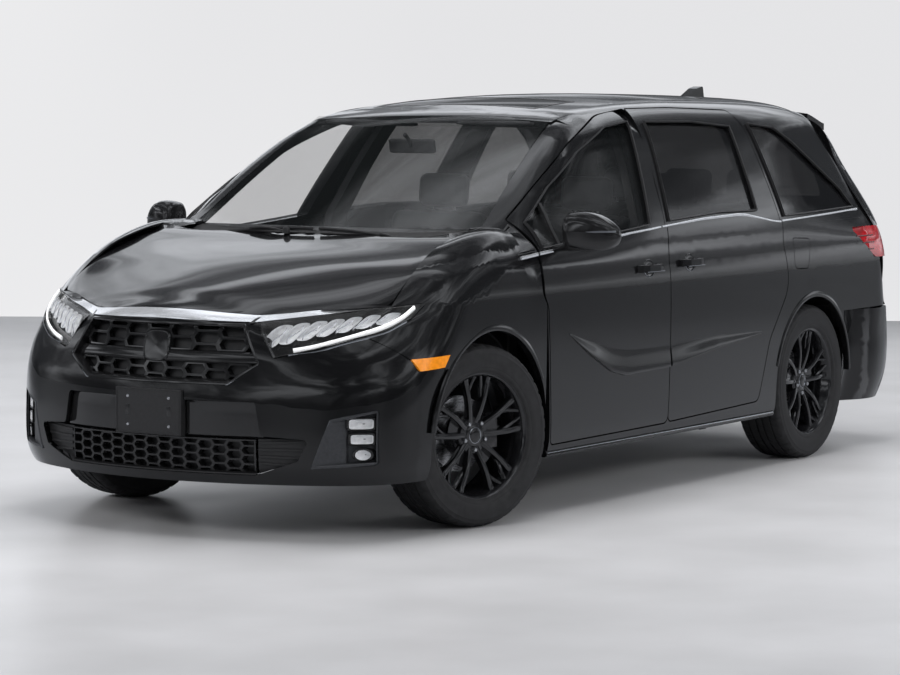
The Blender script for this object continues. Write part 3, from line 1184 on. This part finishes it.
ROWS = (("front_seats", -70, ((130, 640, 480, 1), (-640, -130, 480, 1))),
        ("second_row_seats", -880, ((130, 640, 450, 1), (-640, -130, 450, 1))),
        ("third_row_seat", -1810, ((-530, 530, 460, 3),)))
for node, x, seats in ROWS:
    for k, (y0, y1, base, places) in enumerate(seats):
        pads, posts = seat_parts(x, y0, y1, base, places)
        covers = joined(node + "_pads_%d" % k, pads, "leather", replaces=[node])
        joined(node + "_posts_%d" % k, posts, "steel", sharp=40)
        joined(node + "_shell_%d" % k, [
            block(x - 178, x - 128, y0 + 26, y1 - 26, 610, 1130, 16),
            block(x - 40, x + 470, y0 + 30, y1 - 30, base - 10, base + 40, 14)], "cabin_plastic", sharp=35)
        joined(node + "_mount_%d" % k, [
            block(x - 30, x + 440, y0 + 60, y0 + 92, 304, 330, 6),
            block(x - 30, x + 440, y1 - 92, y1 - 60, 304, 330, 6),
            block(x + 20, x + 400, y0 + 70, y1 - 70, 330, base, 12)], "satin_black", sharp=35)
        if places == 1:
            seams = [[(x - 25 + 470 * s, (y0 + y1) / 2 + side * 0.55 * ((y1 - y0) / 2 - 4),
                       base + 158 + 8 * math.sin(math.pi * s) + 24 * (s - 0.5)) for s in np.linspace(0, 1, 24)]
                     for side in (-1, 1)]
            joined(node + "_seams_%d" % k, [swept(seam, round_section(1.4, 1.4, 6)) for seam in seams], "stitch")

# ---------------------------------------------------------------- inside of the front
joined("dash_screen", [block(855, 1010, -150, 150, 1010, 1135, 14)], "screen", sharp=35)
joined("dash_screen_frame", [swept([(852, y, z) for y, z in rounded(0, 1072, 152, 62, 0.18)], round_section(4, 4, 8),
                                   up=(1, 0, 0), closed=True)], "satin_black")
mirror_z = float(windshield_height(690, 0)) - 78
joined("inside_mirror", [
    pad((672, 0, mirror_z), (14, 118, 32), 12, 2, 12.0, (), (), 14, front=(1, 0, 0)),
    swept([(684, 0, mirror_z), (716, 0, mirror_z + 40), (735, 0, mirror_z + 50)], round_section(9, 9, 12),
          up=(0, 1, 0))], "satin_black", sharp=40)
for side, name in SIDES:
    joined("sun_visor_" + name, [pad((470, side * 345, 1612), (95, 190, 9), 8, 2, -4.0, (), (), 14)], "cabin_plastic")


# ---------------------------------------------------------------- roof
def on_top(a, b, depth):
    a, b = np.asarray(a, float), np.asarray(b, float)
    return np.stack([a, b, top_z(a, b) - depth], 1)


SUNROOF = [(330, 420), (-20, 420), (-20, -420), (330, -420)]
piece("sunroof_seal", *band(SUNROOF, [(-7, 4), (-6, -1.2), (0, -2.2), (6, -1.2), (7, 4)], on_top), "satin_black",
      sharp=40)


# ---------------------------------------------------------------- rear
def tail_point(y, z, depth):
    return (float(tail_x(y, z)) + depth, y, z)


both("rear_reflector", plate([[(703, 433), (877, 433), (877, 467), (703, 467)]], on_tail, 1.5, 9, 20),
     "lamp_red_dark", sharp=30)
PLATE_RECESS = [(-262, 903), (-233, 762), (233, 762), (262, 903)]
piece("plate_recess_liner", *plate([inset(PLATE_RECESS, 1.0)], on_tail, 12.6, 13.6, 22), "satin_black", "tailgate")
piece("plate_recess_frame", *band(PLATE_RECESS, [(0, 13), (-3, 0.5), (-6, -1.6), (-12, -1.2), (-13, 2), (-2, 13)],
                                  on_tail), "gloss_black", "tailgate", sharp=30)
joined("plate_lights", [plate([[(y - 26, 889), (y + 26, 889), (y + 26, 899), (y - 26, 899)]], on_tail, 8, 12, 12)
                        for y in (-120, 120)], "lens", "tailgate")
NUB = turned([(0.2, 6), (4, 5.5), (6, 3), (6.5, 0)], 14, axis="z")
joined("plate_nubs", [moved(NUB, Matrix.Translation(tail_point(y, z, 12.5)) @ BACKWARD)
                      for y in (-90, 90) for z in (790, 872)], "grained_black", "tailgate")
garnish = [tail_point(y, 938, 1.0) for y in np.linspace(-505, 505, 60)]
piece("tail_bright_strip", *swept(garnish, [(-3, -5), (3.5, -8), (4.5, 0), (3.5, 8), (-3, 5)]), "chrome", "tailgate",
      sharp=40)
wiper_line = [tail_point(y, 1262 + 0.03 * y, -9) for y in np.linspace(-20, 350, 22)]
arm_line = [tail_point(y, z, -16) for y, z in ((0, 1192), (40, 1222), (110, 1258), (165, 1266))]
joined("rear_wiper", [
    swept(wiper_line, [(-5, -4), (3, -3), (5, 4), (-4, 6)]), swept(arm_line, round_section(7, 5, 10)),
    moved(turned([(0.2, 22), (12, 20), (18, 12), (19, 0)], 24, axis="z"),
          Matrix.Translation(tail_point(0, 1190, 1)) @ BACKWARD)], "satin_black", "tailgate", sharp=40)
REAR_GLASS = [(-590, 1225), (590, 1225), (540, 1590), (-540, 1590)]
piece("rear_glass_seal", *band(REAR_GLASS, [(-8, 5), (-6, -1.5), (0, -2.4), (6, -1.2), (7, 5)], on_tail),
      "satin_black", "tailgate", sharp=40)
for k in range(3):
    line = side_points(np.linspace(-1925 - 60 * (2 - k), -2440, 24), np.full(24, 985 + 34 * k), -0.6)
    both("tail_lamp_rib_%d" % k, swept(line, [(-3, -3), (1.6, -3), (2.4, 0), (1.6, 3), (-3, 3)]), "lamp_red_dark",
         sharp=40)
stop_lamp = [tail_point(y, 1652, -1.0) for y in np.linspace(-170, 170, 30)]
piece("high_stop_lamp", *swept(stop_lamp, [(-4, -7), (2, -6), (2.6, 0), (2, 6), (-4, 7)]), "lamp_red", "tailgate",
      sharp=40)


# ---------------------------------------------------------------- floor, light and camera
def stage_mesh(name, verts, faces):
    """Mesh of the stage, in metres, and the nodes of a material of its own."""
    me = bpy.data.meshes.new(name)
    me.from_pydata(verts, [], faces)
    obj = bpy.data.objects.new(name, me)
    COLLECTION.objects.link(obj)
    m = bpy.data.materials.new(name)
    m.use_nodes = True
    me.materials.append(m)
    return me, m.node_tree


def floor(size=120.0):
    """Grey floor, darker in the van's reflections."""
    _, tree = stage_mesh("studio_floor", [(-size, -size, 0), (size, -size, 0), (size, size, 0), (-size, size, 0)],
                         [(0, 1, 2, 3)])
    noise = add_node(tree, "TexNoise", "Fac",
                     {"Vector": add_node(tree, "TexCoord", "Object"), "Scale": 1.6, "Detail": 6.0})
    grey = add_ramp(tree, noise, (0.3, (0.385, 0.385, 0.395)), (0.7, (0.45, 0.45, 0.463)))
    surface = tree.nodes["Principled BSDF"].inputs
    surface["Roughness"].default_value = 0.34
    surface["Specular IOR Level"].default_value = 0.4
    feed(tree, surface["Base Color"], add_mix(tree, add_node(tree, "LightPath", "Is Glossy Ray"), grey,
                                              (0.21, 0.215, 0.23, 1)))


def wall(distance=25.0):
    """Pale wall behind the van, square to the photo's view; it is clear to reflections and from its far side."""
    away = Vector((-math.cos(AZIMUTH), -math.sin(AZIMUTH), 0))
    across = Vector((-away.y, away.x, 0))
    foot = Vector((EYE[0], EYE[1], 0)) + away * distance
    profile = ((0.0, 0.002), (0.35, 0.03), (0.8, 0.16), (1.15, 0.42), (1.35, 0.8), (1.45, 1.3), (1.5, 2.0), (1.5, 30.0))
    me, tree = stage_mesh("studio_wall", *grid_mesh([[foot + away * out + across * t + Vector((0, 0, up))
                                                      for t in np.linspace(-60, 60, 13)] for out, up in profile]))
    me.shade_smooth()
    plain_wall = tree.nodes["Principled BSDF"]
    plain_wall.inputs["Base Color"].default_value = (0.75, 0.75, 0.76, 1)
    plain_wall.inputs["Roughness"].default_value = 0.9
    cloud = add_node(tree, "TexNoise", "Fac", {"Vector": add_node(tree, "TexCoord", "Object"), "Scale": 0.12})
    tone = add_ramp(tree, cloud, (0.35, (0.78, 0.78, 0.795)), (0.65, (0.90, 0.90, 0.91)))
    glow = add_node(tree, "Emission", 0, {"Color": tone})
    seen = add_node(tree, "Math", 0, {0: add_node(tree, "LightPath", "Is Camera Ray"),
                                      1: add_node(tree, "LightPath", "Is Transmission Ray")}, operation="MAXIMUM")
    shown = add_node(tree, "MixShader", 0, {0: seen, 1: plain_wall.outputs[0], 2: glow})
    facing = add_node(tree, "VectorMath", "Value", {0: add_node(tree, "NewGeometry", "Incoming"), 1: away},
                      operation="DOT_PRODUCT")
    from_outside = add_node(tree, "Math", 0, {0: facing, 1: 0.0}, operation="GREATER_THAN")
    clear = add_node(tree, "Math", 0, {0: from_outside, 1: add_node(tree, "LightPath", "Is Glossy Ray")},
                     operation="MAXIMUM")
    last = add_node(tree, "MixShader", 0, {0: clear, 1: shown, 2: add_node(tree, "BsdfTransparent", 0)})
    feed(tree, tree.nodes["Material Output"].inputs["Surface"], last)


def sky():
    """Plain pale sky for the camera, bands of cloud in reflections and an even light for the rest."""
    world = bpy.context.scene.world = bpy.data.worlds.new("studio")
    world.use_nodes = True
    tree = world.node_tree
    direction = add_node(tree, "TexCoord", "Generated")
    height = add_node(tree, "SeparateXYZ", "Z", {"Vector": direction})
    seen = add_ramp(tree, height, (0.0, (0.80, 0.80, 0.81)), (0.35, (0.88, 0.88, 0.89)))
    flat = add_node(tree, "Mapping", "Vector", {"Vector": direction, "Scale": (1.0, 1.0, 3.2)})
    haze = add_node(tree, "TexNoise", "Fac", {"Vector": flat, "Scale": 2.1, "Detail": 7.0, "Distortion": 0.5})
    clouds = add_ramp(tree, haze, (0.42, (0.05, 0.054, 0.06)), (0.66, (1.25, 1.29, 1.36)), (0.52, (0.23, 0.24, 0.256)))
    rise = add_ramp(tree, height, (0.02, (0.42, 0.42, 0.42)), (0.10, (1, 1, 1)))
    shine = add_mix(tree, 1.0, clouds, rise, "MULTIPLY")
    soft = add_mix(tree, add_node(tree, "LightPath", "Is Glossy Ray"), (0.42, 0.425, 0.435, 1), shine)
    background = tree.nodes["Background"].inputs
    feed(tree, background["Color"], add_mix(tree, add_node(tree, "LightPath", "Is Camera Ray"), soft, seen))
    background["Strength"].default_value = 1.0


def lamps():
    """Five large soft lamps that don't show in reflections."""
    for name, place, target, wide, high, power in (
            ("overhead", (0.5, 0.5, 6.0), (0.5, 0.0, 0.0), 7.0, 3.2, 520),
            ("side_left", (-0.5, 8.5, 3.6), (0.0, 0.0, 0.8), 8.0, 1.6, 420),
            ("front_high", (8.5, -2.5, 4.2), (1.5, 0.0, 0.6), 5.0, 1.6, 330),
            ("side_right", (0.0, -8.0, 3.6), (0.0, 0.0, 0.8), 8.0, 1.6, 300),
            ("rear_high", (-9.0, 1.0, 4.0), (-1.5, 0.0, 0.8), 5.0, 1.6, 300)):
        light = bpy.data.lights.new(name, "AREA")
        light.shape = "RECTANGLE"
        light.size, light.size_y = wide, high
        light.energy = power
        o = bpy.data.objects.new(name, light)
        o.location = place
        o.rotation_mode = "QUATERNION"
        o.rotation_quaternion = (Vector(target) - Vector(place)).to_track_quat("-Z", "Y")
        COLLECTION.objects.link(o)
        o.visible_glossy = False


def photo_camera():
    data = bpy.data.cameras.new("photo_camera")
    cam = bpy.data.objects.new("photo_camera", data)
    COLLECTION.objects.link(cam)
    data.sensor_width = 36.0
    data.lens = FOCAL_LENGTH
    data.clip_end = 200.0
    level = math.cos(ELEVATION)
    look = Vector((-math.cos(AZIMUTH) * level, -math.sin(AZIMUTH) * level, -math.sin(ELEVATION)))
    right = look.cross(Vector((0, 0, 1))).normalized()
    up = right.cross(look)
    across = math.cos(ROLL) * right + math.sin(ROLL) * up
    rise = -math.sin(ROLL) * right + math.cos(ROLL) * up
    cam.rotation_mode = "QUATERNION"
    cam.rotation_quaternion = Matrix((across, rise, -look)).transposed().to_quaternion()
    cam.location = EYE
    bpy.context.scene.camera = cam


floor()
wall()
sky()
lamps()
photo_camera()
bpy.context.scene.view_settings.view_transform = "Standard"
